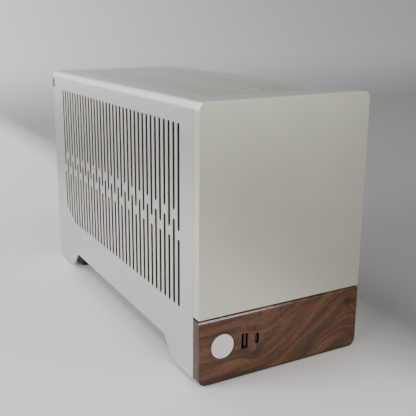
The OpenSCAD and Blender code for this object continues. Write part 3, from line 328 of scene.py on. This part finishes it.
def walnut():
    """Oiled walnut: level layers on the left that climb in broad bands to a knot at the right, with painted shade
    on the top face and along the bottom edge.
    """
    darkest = (0.014, 0.007, 0.004)
    growth_line = (0.018, 0.008, 0.004)
    fibre_dark = (0.042, 0.017, 0.007)
    side_dark = (0.016, 0.007, 0.003)
    # Painted shade for the top face and the bottom edge.
    painted_wood_shade = (0.010, 0.006, 0.004)
    tones = [(0.35, (0.020, 0.008, 0.003)), (0.42, (0.060, 0.023, 0.008)), (0.50, (0.118, 0.046, 0.016)),
             (0.58, (0.168, 0.068, 0.024)), (0.68, (0.215, 0.092, 0.034))]
    s = Shader("walnut", (0.11, 0.04, 0.014), roughness=0.42, Coat_Weight=0.5, Coat_Roughness=0.16,
               Specular_IOR_Level=0.2)
    x, y, z = s.axes()
    facing = s.facing()
    side = s.spread(s.math("ABSOLUTE", facing[0]), 0.0, 1.0, 0.6, 0.8)
    grain, knots = growth_layers(s, x, y, z, side)
    bands = s.noise(165.0, detail=5.0, roughness=0.60, where=grain, distortion=0.3)
    broad = s.noise(70.0, detail=2.0, roughness=0.5, where=grain)
    fibres = s.noise(1300.0, detail=3.0, roughness=0.6, where=grain)
    pores = s.noise(1000.0, detail=1.0, where=s.mapped(scale=(3.2, 1.0, 1.0), source=grain))
    tone = s.math("ADD", s.math("MULTIPLY", bands, 0.60), s.math("MULTIPLY", broad, 0.40))
    color = s.ramp(tone, tones)
    edge = s.math("ABSOLUTE", s.math("SUBTRACT", bands, 0.47))
    color = s.mix(s.spread(edge, 0.62, 0.0, 0.0, 0.022), color, growth_line)
    color = s.mix(s.spread(fibres, 0.0, 0.40, 0.35, 0.7), color, fibre_dark)
    color = s.mix(s.spread(pores, 0.0, 0.85, 0.60, 0.68), color, darkest)
    color = s.mix(knots, color, darkest)
    color = s.mix(s.math("MULTIPLY", side, 0.80), color, side_dark)
    # Painted shade: the top face, in the gap under the front plate, and the bottom edge by the floor are darkened
    # as if in shadow.
    shaded_top = s.spread(facing[2], 0.0, 1.0, 0.85, 0.95)
    shaded_bottom = s.spread(z, 0.95, 0.0, 1.3 * MM, 2.4 * MM)
    color = s.mix(s.math("MAXIMUM", shaded_top, shaded_bottom), color, painted_wood_shade)
    s.feed("Base Color", color)
    s.feed("Roughness", s.spread(fibres, 0.34, 0.50, 0.3, 0.7))
    relief = s.math("SUBTRACT", s.math("MULTIPLY", fibres, 0.5), s.spread(pores, 0.0, 1.0, 0.64, 0.74))
    s.bump(relief, 0.00006, 0.5)
    return s.material


def powder_coat(name, color, roughness):
    """Baked paint with a fine texture and slow wear."""
    s = Shader(name, color, roughness=roughness)
    texture = s.noise(1500.0, detail=2.0)
    wear = s.noise(30.0, detail=5.0, roughness=0.65)
    s.feed("Base Color", s.mix(s.spread(wear, 0.0, 0.6, 0.4, 0.75), color, tint(color, 1.6)))
    s.feed("Roughness", s.spread(wear, roughness - 0.06, roughness + 0.08, 0.3, 0.7))
    s.bump(texture, 0.00005, 0.5)
    return s.material


def brushed_metal(name, color, roughness, along=(1.0, 0.03, 1.0)):
    """Drawn or brushed metal: fine lines that run along the axis with the smallest scale."""
    s = Shader(name, color, metallic=1.0, roughness=roughness)
    lines = s.noise(3000.0, detail=2.0, where=s.mapped(scale=along))
    spots = s.noise(25.0, detail=4.0, roughness=0.6)
    s.feed("Base Color", s.mix(s.spread(lines, 0.0, 1.0, 0.3, 0.7), tint(color, 0.88), tint(color, 1.08)))
    rough = s.math("ADD", s.spread(lines, -0.06, 0.06, 0.3, 0.7), s.spread(spots, -0.05, 0.05, 0.3, 0.7))
    s.feed("Roughness", s.math("ADD", rough, roughness))
    s.bump(lines, 0.00001, 0.4)
    return s.material


def moulded(name, color, roughness, grain=1200.0):
    """Moulded plastic with a fine grain and a little dust."""
    s = Shader(name, color, roughness=roughness)
    texture = s.noise(grain, detail=3.0)
    dust = s.noise(40.0, detail=5.0, roughness=0.7)
    s.feed("Base Color", s.mix(s.spread(dust, 0.0, 0.4, 0.45, 0.8), color, tint(color, 1.8)))
    s.feed("Roughness", s.spread(dust, roughness - 0.05, roughness + 0.10, 0.3, 0.7))
    s.bump(texture, 0.00004, 0.4)
    return s.material


def rubber():
    """Soft black rubber with a rough skin."""
    s = Shader("rubber", (0.022, 0.022, 0.023), roughness=0.8)
    texture = s.noise(700.0, detail=4.0, roughness=0.7)
    s.feed("Base Color", s.mix(texture, (0.016, 0.016, 0.017), (0.034, 0.034, 0.035)))
    s.bump(texture, 0.0001, 0.6)
    return s.material


def braided(name, color):
    """Woven sleeve: two crossing sets of fine ribs."""
    rib_scale = 45.0
    s = Shader(name, color, roughness=0.65, Sheen_Weight=0.3)
    heights = []
    for turn in (math.radians(45), math.radians(-45)):
        wave = s.node("ShaderNodeTexWave", wave_type="BANDS")
        wave.inputs["Scale"].default_value = rib_scale
        s.link(s.mapped(turn=(turn, turn, 0.0), scale=(9, 9, 9)), wave.inputs["Vector"])
        heights.append(wave.outputs["Fac"])
    height = s.math("MAXIMUM", *heights)
    s.feed("Base Color", s.mix(height, tint(color, 0.5), tint(color, 1.7)))
    s.bump(height, 0.0002, 0.7)
    return s.material


def ribbon():
    """Flat laminated cable: fine parallel conductors across Y."""
    conductors_per_metre = 800.0
    s = Shader("ribbon_film", (0.03, 0.03, 0.035), roughness=0.35)
    _, y, _ = s.axes()
    cycle = s.math("FRACT", s.math("MULTIPLY", y, conductors_per_metre))
    rib = s.math("SINE", s.math("MULTIPLY", cycle, math.pi))
    s.feed("Base Color", s.mix(rib, (0.012, 0.012, 0.014), (0.05, 0.05, 0.058)))
    s.bump(rib, 0.0003, 0.6)
    return s.material


def circuit_board(name, mask, copper):
    """Solder mask over fine copper tracks in straight and stepped runs, with tinned vias."""
    tin = (0.45, 0.43, 0.36)
    s = Shader(name, mask, roughness=0.32, Coat_Weight=0.3, Coat_Roughness=0.2)
    flat = s.mapped(scale=(0.0, 1.0, 1.0))
    cells = s.node("ShaderNodeTexVoronoi", feature="F1", distance="MANHATTAN")
    cells.inputs["Scale"].default_value = 110.0
    s.link(flat, cells.inputs["Vector"])
    tracks = s.math("FRACT", s.math("MULTIPLY", cells.outputs["Distance"], 14.0))
    track = s.spread(tracks, 0.0, 1.0, 0.55, 0.62)
    holes = s.node("ShaderNodeTexVoronoi", feature="F1")
    holes.inputs["Scale"].default_value = 330.0
    s.link(flat, holes.inputs["Vector"])
    via = s.spread(holes.outputs["Distance"], 0.8, 0.0, 0.10, 0.14)
    s.feed("Base Color", s.mix(via, s.mix(track, mask, copper), tin))
    s.feed("Metallic", via)
    s.bump(track, 0.00004, 0.5)
    return s.material


def painted_slots():
    """One material for each material slot of the record."""
    return {
        # The side panels carry painted shade on their slot walls.
        "panel_aluminium": blasted_aluminium("panel_aluminium", (0.67, 0.67, 0.645), 0.31, shade_slot_walls=True),
        "front_aluminium": blasted_aluminium("front_aluminium", (0.72, 0.725, 0.62), 0.34),
        "button_aluminium": blasted_aluminium("button_aluminium", (0.80, 0.80, 0.78), 0.32),
        "walnut": walnut(),
        "black_steel": powder_coat("black_steel", (0.022, 0.022, 0.024), 0.52),
        "bright_steel": brushed_metal("bright_steel", (0.56, 0.56, 0.57), 0.30),
        "screw_steel": brushed_metal("screw_steel", (0.10, 0.10, 0.105), 0.34, (1, 1, 1)),
        "pin_steel": brushed_metal("pin_steel", (0.60, 0.60, 0.60), 0.20),
        "black_plastic": moulded("black_plastic", (0.030, 0.030, 0.032), 0.46),
        "fan_plastic": moulded("fan_plastic", (0.042, 0.042, 0.045), 0.36, 500.0),
        "latch_plastic": moulded("latch_plastic", (0.50, 0.50, 0.48), 0.40, 600.0),
        "jack_plastic": moulded("jack_plastic", (0.030, 0.030, 0.030), 0.38, 600.0),
        "rubber": rubber(),
        "cable_jacket": braided("cable_jacket", (0.020, 0.020, 0.021)),
        "ribbon_film": ribbon(),
        "board_laminate": circuit_board("board_laminate", (0.010, 0.013, 0.014), (0.024, 0.028, 0.028)),
        "circuit_board": circuit_board("circuit_board", (0.012, 0.060, 0.030), (0.030, 0.130, 0.055)),
        "brass": brushed_metal("brass", (0.72, 0.52, 0.22), 0.28, (0.03, 1, 1)),
        "copper": brushed_metal("copper", (0.78, 0.42, 0.28), 0.26, (1, 0.03, 1)),
        "fin_aluminium": brushed_metal("fin_aluminium", (0.62, 0.62, 0.63), 0.30, (1, 1, 0.05)),
        "black_aluminium": brushed_metal("black_aluminium", (0.085, 0.085, 0.092), 0.36, (1, 1, 0.04)),
    }


# ---------- CAD nodes ----------

def soften(part, width):
    """Rounds the sharp edges of an object by a width in millimetres."""
    bevel = part.modifiers.new("soft_edge", "BEVEL")
    bevel.width = width * MM
    bevel.segments = 2
    bevel.limit_method = "ANGLE"
    bevel.angle_limit = math.radians(40)
    return bevel


def dress_nodes(materials):
    """Gives each CAD node its record material and a small machined edge."""
    edges = {"left_side_panel": 0.35, "right_side_panel": 0.35, "top_panel": 0.35, "front_plate": 0.8,
             "wood_strip": 0.35, "power_button": 0.7, "usb_a_port": 0.15}
    plain_edge = 0.12
    for part in frame["record"]["subparts"]:
        node = NODES[part["node"]]
        node.data.materials.clear()
        node.data.materials.append(materials[part["material_slot"]])
        bevel = soften(node, edges.get(part["node"], plain_edge))
        bevel.harden_normals = True


# ---------- Studio floor ----------

def studio_paper():
    """Pale paper with two darker areas: one deepens the tower's shade, one shows in a reflection."""
    right_dark = (0.30, 0.289, 0.291)
    left_dark = (0.22, 0.21, 0.21)
    s = Shader("studio_paper", (0.80, 0.77, 0.77), roughness=0.6)
    x, y, _ = s.axes()
    fibre = s.noise(180.0, detail=4.0)
    paper = s.mix(fibre, (0.79, 0.76, 0.762), (0.82, 0.79, 0.792))
    # At the left, out of the camera's view, in what the left panel's rear half reflects.
    left = s.spread(s.math("SUBTRACT", x, s.math("MULTIPLY", y, 0.22)), 1.0, 0.0, -0.42, -0.20)
    behind = s.math("MULTIPLY", s.spread(y, 0.0, 1.0, 0.2, 0.7), s.spread(y, 1.0, 0.0, 1.7, 2.5))
    paper = s.mix(s.math("MULTIPLY", left, behind), paper, left_dark)
    # At the right, in the tower's shade.
    right = s.spread(x, 0.0, 1.0, 0.06, 0.15)
    near = s.spread(y, 1.0, 0.0, 1.2, 3.0)
    s.feed("Base Color", s.mix(s.math("MULTIPLY", right, near), paper, right_dark))
    s.bump(fibre, 0.0002, 0.15)
    return s.material


def make_stage():
    """A pale floor that curves up into a far backdrop."""
    floor_near = -4.0
    floor_far = 2.6
    sweep_r = 1.2
    top = 3.4
    half_width = 6.0
    steps = 16
    profile = [(floor_near, 0.0), (floor_far, 0.0)]
    for i in range(1, steps + 1):
        angle = math.radians(90) * i / steps
        profile.append((floor_far + sweep_r * math.sin(angle), sweep_r * (1 - math.cos(angle))))
    profile.append((floor_far + sweep_r, top))
    mesh = bpy.data.meshes.new("studio_floor")
    points = [(x, y, z) for y, z in profile for x in (-half_width, half_width)]
    faces = [(2 * i, 2 * i + 1, 2 * i + 3, 2 * i + 2) for i in range(len(profile) - 1)]
    mesh.from_pydata(points, [], faces)
    mesh.shade_smooth()
    mesh.materials.append(studio_paper())
    floor = bpy.data.objects.new("studio_floor", mesh)
    bpy.context.scene.collection.objects.link(floor)


# ---------- Detailed pieces ----------

JOINTS = {joint["name"]: joint for joint in frame["joints"]}

# From here on lengths are millimetres, in the same frame.
BOARD_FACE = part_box("motherboard")[0].x / MM   # the side with the parts, which looks along -X
REAR_IN = 167.5                                # inner face of the rear frame
SKIN = 0.03                                    # by which a piece covers the plain CAD shape under it


def node_box(node):
    """The lowest and highest corner of a CAD node."""
    low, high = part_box(node)
    return low / MM, high / MM


def turned(axis, along, side, up):
    """A point at a distance along an axis, with two coordinates across it."""
    return {"X": (along, side, up), "Y": (up, along, side)}[axis]


class Piece:
    """Gathers simple solids into one named object that rides on a CAD body."""

    def __init__(self):
        self.mesh = bmesh.new()

    def point(self, x, y, z):
        return self.mesh.verts.new((x * MM, y * MM, z * MM))

    def skin(self, rings):
        """Joins closed rings, which have equal counts of points, with quads."""
        for one, two in zip(rings, rings[1:]):
            for i in range(len(one)):
                j = (i + 1) % len(one)
                corners = dict.fromkeys((one[i], one[j], two[j], two[i]))
                if len(corners) > 2:
                    self.mesh.faces.new(list(corners))

    def box(self, low, high):
        rings = []
        for z in (low[2], high[2]):
            outline = ((low[0], low[1]), (high[0], low[1]), (high[0], high[1]), (low[0], high[1]))
            rings.append([self.point(x, y, z) for x, y in outline])
        self.skin(rings)
        self.mesh.faces.new(rings[0][::-1])
        self.mesh.faces.new(rings[1])

    def lathe(self, axis, centre, profile, sides=40, ridge=0.0):
        """A turned solid: profile holds (distance along the axis, radius) pairs, and ridge cuts a knurl."""
        rings = []
        for along, radius in profile:
            middle = self.point(*turned(axis, along, centre[0], centre[1])) if radius == 0 else None
            ring = []
            for i in range(sides):
                angle = math.tau * i / sides
                r = radius - (ridge if i % 2 else 0.0)
                side = centre[0] + r * math.cos(angle)
                up = centre[1] + r * math.sin(angle)
                ring.append(middle or self.point(*turned(axis, along, side, up)))
            rings.append(ring)
        self.skin(rings)
        for ring in (rings[0], rings[-1]):
            if ring[0] is not ring[1]:
                self.mesh.faces.new(ring)

    def finish(self, name, body, slot, edge=0.0, smooth=30.0):
        bmesh.ops.recalc_face_normals(self.mesh, faces=self.mesh.faces)
        data = bpy.data.meshes.new(name)
        self.mesh.to_mesh(data)
        self.mesh.free()
        data.shade_smooth()
        data.set_sharp_from_angle(angle=math.radians(smooth))
        data.materials.append(MATERIALS[slot])
        made = bpy.data.objects.new(name, data)
        bpy.context.scene.collection.objects.link(made)
        if edge:
            soften(made, edge)
        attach(made, body)
        return made


def add_blade(piece, centre, face, back, hub_r, tip_r, start, chord):
    """One swept blade whose chord flattens and thins from the hub to the tip."""
    rows, columns = 10, 9
    sweep = math.radians(20)
    sunk = 0.6                           # depth of the blade's root in the hub
    root_depth, tip_depth = 0.92, 0.70   # parts of the wheel's depth
    root_thick, tip_thick = 1.3, 0.8
    root_r = hub_r - sunk
    rings = []
    for i in range(rows):
        k = i / (rows - 1)   # zero at the root, one at the tip
        r = root_r + (tip_r - root_r) * k
        depth = (back - face) * (root_depth + (tip_depth - root_depth) * k)
        thick = root_thick + (tip_thick - root_thick) * k
        ring = []
        for side, order in ((-1, range(columns)), (1, range(columns - 1, -1, -1))):
            for j in order:
                t = j / (columns - 1)
                angle = start + sweep * k ** 1.4 + chord * (t - 0.5) * (1 - 0.12 * k)
                hump = math.sin(math.pi * t)
                half = thick * (0.3 + 0.7 * hump) / 2
                along = (face + back) / 2 + depth * (t - 0.5 + 0.10 * hump) + side * half
                y = centre[0] + r * math.cos(angle)
                ring.append(piece.point(along, y, centre[1] + r * math.sin(angle)))
        rings.append(ring)
    piece.skin(rings)
    piece.mesh.faces.new(rings[0])
    piece.mesh.faces.new(rings[-1])


def add_fan(node, joint, body, face, back, axle, hub_r, tip_r, blades):
    """A moulded fan wheel that stands for the plain CAD wheel.

    Face, back and axle are places along X; face is the visible side of the wheel.
    """
    centre = [c / MM for c in JOINTS[joint]["pos_m"][1:]]
    inward = 1 if back > face else -1
    axle_r = 2
    # The hub's face, as depths and radii: a flat middle, a shallow ring-shaped hollow and a rounded rim.
    hub_face = ((0, 0), (0, 5), (0.5, 5.5), (0.5, hub_r - 4.5), (0, hub_r - 4),
                (0.2, hub_r - 2), (0.9, hub_r - 0.7), (2.2, hub_r))
    hub = [(face + inward * depth, radius) for depth, radius in hub_face]
    hub += [(back, hub_r), (back, 0)]
    piece = Piece()
    piece.lathe("X", centre, hub, sides=64)
    piece.lathe("X", centre, [(axle[0], 0), (axle[0], axle_r), (axle[1], axle_r), (axle[1], 0)], sides=24)
    pitch = math.tau / blades
    for i in range(blades):
        add_blade(piece, centre, face, back, hub_r, tip_r, i * pitch, pitch * 0.92)
    wheel = piece.finish(node + "_moulded", body, "fan_plastic", smooth=40.0)
    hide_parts(node)


def add_fans():
    add_fan("cooler_fan_rotor", "cooler_fan_spin", "cooler_rotor",
            face=-67.0, back=-55.7, axle=(-55.8, -53.5), hub_r=17, tip_r=43.0, blades=9)
    add_fan("psu_fan_rotor", "psu_fan_spin", "psu_rotor",
            face=-62.3, back=-51.0, axle=(-64.7, -62.2), hub_r=18, tip_r=42.3, blades=9)
    for end in ("front", "rear"):
        add_fan(f"card_fan_{end}", f"card_fan_{end}_spin", f"card_rotor_{end}",
                face=61.3, back=50.4, axle=(50.5, 48.4), hub_r=18, tip_r=42.8, blades=11)


def laid(upright, along, across):
    """Two lengths in the order Y, Z, for a part that lies along Z when upright, and else along Y."""
    return (across, along) if upright else (along, across)


class BoardParts:
    """Places parts on the main board's face, each by the Y and Z of its middle.

    A part's base is its distance from the board.
    """

    def __init__(self):
        self.pieces = {}

    def piece(self, name):
        return self.pieces.setdefault(name, Piece())

    def block(self, name, y, z, wide, tall, high, base=0.0):
        x = BOARD_FACE - base
        self.piece(name).box((x - high, y - wide / 2, z - tall / 2), (x, y + wide / 2, z + tall / 2))

    def drum(self, name, y, z, radius, high, base=0.0, edge=0.3):
        near, far = BOARD_FACE - base, BOARD_FACE - base - high
        profile = [(near, 0), (near, radius), (far + edge, radius), (far, radius - edge), (far, 0)]
        self.piece(name).lathe("X", (y, z), profile)

    def chip(self, y, z, size, legs):
        """A square package with legs along all four sides."""
        foot, leg_wide, leg_high = 1.0, 0.25, 0.5
        self.block("logic_chips", y, z, size, size, 1.1, base=0.2)
        step = (size - 1.2) / (legs - 1)
        for i in range(legs):
            shift = (i - (legs - 1) / 2) * step
            for side in (-1, 1):
                off = side * (size / 2 + 0.4)
                self.block("chip_legs", y + off, z + shift, foot, leg_wide, leg_high)
                self.block("chip_legs", y + shift, z + off, leg_wide, foot, leg_high)

    def capacitor(self, y, z, radius, high):
        self.block("capacitor_bases", y, z, radius * 2.1, radius * 2.1, 1.0)
        self.drum("capacitor_cans", y, z, radius, high, base=1.0, edge=0.4)

    def header(self, y, z, columns, rows):
        """A block with rows of square pins, a tenth of an inch apart."""
        pitch = 2.54
        self.block("header_bases", y, z, columns * pitch, rows * pitch, 2.4)
        for i in range(columns):
            for j in range(rows):
                pin_y = y + (i - (columns - 1) / 2) * pitch
                pin_z = z + (j - (rows - 1) / 2) * pitch
                self.block("header_pins", pin_y, pin_z, 0.64, 0.64, 8.4)

    def scatter(self, count, blocked):
        """Small two-ended parts at chance places, clear of each other and of the blocked rectangles."""
        sizes = ((1.6, 0.8), (2.0, 1.25), (1.0, 0.5))
        gap = 1.5
        blocked = list(blocked)
        rng = random.Random(11)
        placed = 0
        while placed < count:
            y, z = rng.uniform(0, 145), rng.uniform(43, 210)
            long, short = rng.choice(sizes)
            upright = rng.random() < 0.5
            if any(y0 - gap < y < y1 + gap and z0 - gap < z < z1 + gap for y0, y1, z0, z1 in blocked):
                continue
            placed += 1
            blocked.append((y - 1, y + 1, z - 1, z + 1))
            cap = long * 0.22
            off = (long - cap) / 2
            wide, tall = laid(upright, long - 2 * cap, short)
            self.block("surface_parts", y, z, wide, tall, short * 0.8)
            for shift in (-off, off):
                end_y, end_z = laid(upright, shift, 0.0)
                wide, tall = laid(upright, cap, short)
                self.block("surface_ends", y + end_y, z + end_z, wide, tall, short * 0.85)

    def finish(self, slots):
        for name, (slot, edge) in slots.items():
            self.pieces[name].finish(name, "chassis", slot, edge)


# Areas of the main board that small parts keep clear of, as lowest and highest Y, then Z.
TAKEN_AREAS = {
    "processor": (58, 118, 104, 164),
    "upper regulator heatsink": (58, 148, 178, 198),
    "rear regulator heatsink": (136, 148, 102, 198),
    "memory slots": (-4, 20, 50, 206),
    "main power socket": (20, 54, 183, 199),
    "processor power socket": (94, 116, 198, 211),
    "storage heatsink": (30, 114, 60, 85),
    "card slot": (30, 123, 44, 55),
    "front lead's plug": (9, 23, 45, 58),
    "lower front screw": (-4, 9, 43, 54),
    "rear chokes": (123, 136, 105, 172),
    "rear capacitors": (113, 123, 106, 160),
    "upper chokes and capacitors": (62, 130, 157, 178),
    "coin cell": (119, 146, 58, 86),
    "pin headers": (120, 150, 42, 52),
}

# Y and Z of each logic chip's middle, its size and the legs on each side.
CHIPS = ((31, 100, 13, 24), (30, 124, 8, 12), (28, 150, 7, 12),
         (48, 172, 6, 8), (138, 93, 6, 8), (48, 100, 5, 8))

# The material slot and the edge width of each kind of part.
BOARD_LOOKS = {
    "power_chokes": ("screw_steel", 0.6),
    "capacitor_bases": ("black_plastic", 0.1),
    "capacitor_cans": ("fin_aluminium", 0.0),
    "coin_holder": ("black_plastic", 0.2),
    "coin_cell": ("bright_steel", 0.0),
    "header_bases": ("black_plastic", 0.15),
    "header_pins": ("brass", 0.08),
    "logic_chips": ("black_plastic", 0.12),
    "chip_legs": ("pin_steel", 0.0),
    "surface_parts": ("latch_plastic", 0.0),
    "surface_ends": ("pin_steel", 0.0),
}


def add_power_stage(parts):
    """Chokes and capacitors in a column behind the processor and in a row above it."""
    choke, choke_high, choke_pitch = 9, 7.5, 11
    can_r, can_high = 2.6, 6.5
    for i in range(6):
        parts.block("power_chokes", 129, 111 + i * choke_pitch, choke, choke, choke_high)
        parts.block("power_chokes", 69 + i * choke_pitch, 173, choke, choke, choke_high)
        parts.capacitor(117.5, 112 + i * 8.5, can_r, can_high)
    for i in range(5):
        parts.capacitor(68 + i * 9.5, 162.2, can_r, can_high)


def add_board_parts():
    cell_at = (132, 72)
    header_z = 46.5
    parts = BoardParts()
    add_power_stage(parts)
    parts.drum("coin_holder", *cell_at, radius=11.5, high=1.6)
    parts.drum("coin_cell", *cell_at, radius=10, high=3.2, base=1.2)
    parts.header(128.5, header_z, columns=5, rows=2)
    parts.header(143, header_z, columns=4, rows=2)
    blocked = list(TAKEN_AREAS.values())
    for y, z, size, legs in CHIPS:
        parts.chip(y, z, size, legs)
        reach = size / 2 + 1
        blocked.append((y - reach, y + reach, z - reach, z + reach))
    parts.scatter(170, blocked)
    parts.finish(BOARD_LOOKS)


def add_usb_contacts():
    """The tongue of the front USB-A socket, with its four contacts."""
    low, high = node_box("usb_a_port")
    middle = (low + high) / 2
    face = middle.x + 0.4 - SKIN
    reach = 5.4 + SKIN
    tongue = Piece()
    tongue.box((face, low.y + 1 - SKIN, middle.z - reach),
               (middle.x + 2.2 + SKIN, high.y - 2, middle.z + reach))
    tongue.finish("usb_a_tongue", "chassis", "black_plastic")
    contacts = Piece()
    for shift in (-3.5, -1.15, 1.15, 3.5):
        z = middle.z + shift
        contacts.box((face - 0.2, low.y + 1.05, z - 0.5), (face, low.y + 10.9, z + 0.5))
    contacts.finish("usb_a_contacts", "chassis", "pin_steel")


def add_lan_contacts():
    """Eight contacts side by side in the network socket."""
    low, high = node_box("lan_port")
    count, pitch = 8, 1.17
    contacts = Piece()
    for i in range(count):
        z = (low.z + high.z) / 2 + (i - (count - 1) / 2) * pitch
        contacts.box((BOARD_FACE - 10.5, REAR_IN - 7.5, z - 0.2), (BOARD_FACE - 10.2, REAR_IN, z + 0.2))
    contacts.finish("lan_contacts", "chassis", "brass")


def add_inlet_pins():
    """Three flat pins in the mains inlet, the middle one raised."""
    low, high = node_box("power_inlet")
    middle = (low + high) / 2
    half_x, half_z = 1 + SKIN, 2 + SKIN
    pins = Piece()
    for shift_x, shift_z in ((-7, -1.5), (0, 2.5), (7, -1.5)):
        x, z = middle.x + shift_x, middle.z + shift_z
        pins.box((x - half_x, REAR_IN - 12.9, z - half_z), (x + half_x, REAR_IN - 0.95, z + half_z))
    pins.finish("inlet_pins", "chassis", "pin_steel", edge=0.4)


def add_screw_knurls():
    """Knurls on the thumb screws above the three card slots."""
    first_x, slot_pitch, screw_z = 18.0, 20.32, 179.0
    profile = [(169.4, 3.3), (169.6, 3.65), (171.1, 3.65), (171.3, 3.3)]
    knurls = Piece()
    for i in range(3):
        knurls.lathe("Y", (screw_z, first_x + i * slot_pitch), profile, sides=56, ridge=0.22)
    knurls.finish("thumb_screw_knurls", "chassis", "screw_steel")


make_camera()
make_light()
make_stage()
MATERIALS = painted_slots()
dress_nodes(MATERIALS)
add_fans()
add_board_parts()
add_usb_contacts()
add_lan_contacts()
add_inlet_pins()
add_screw_knurls()
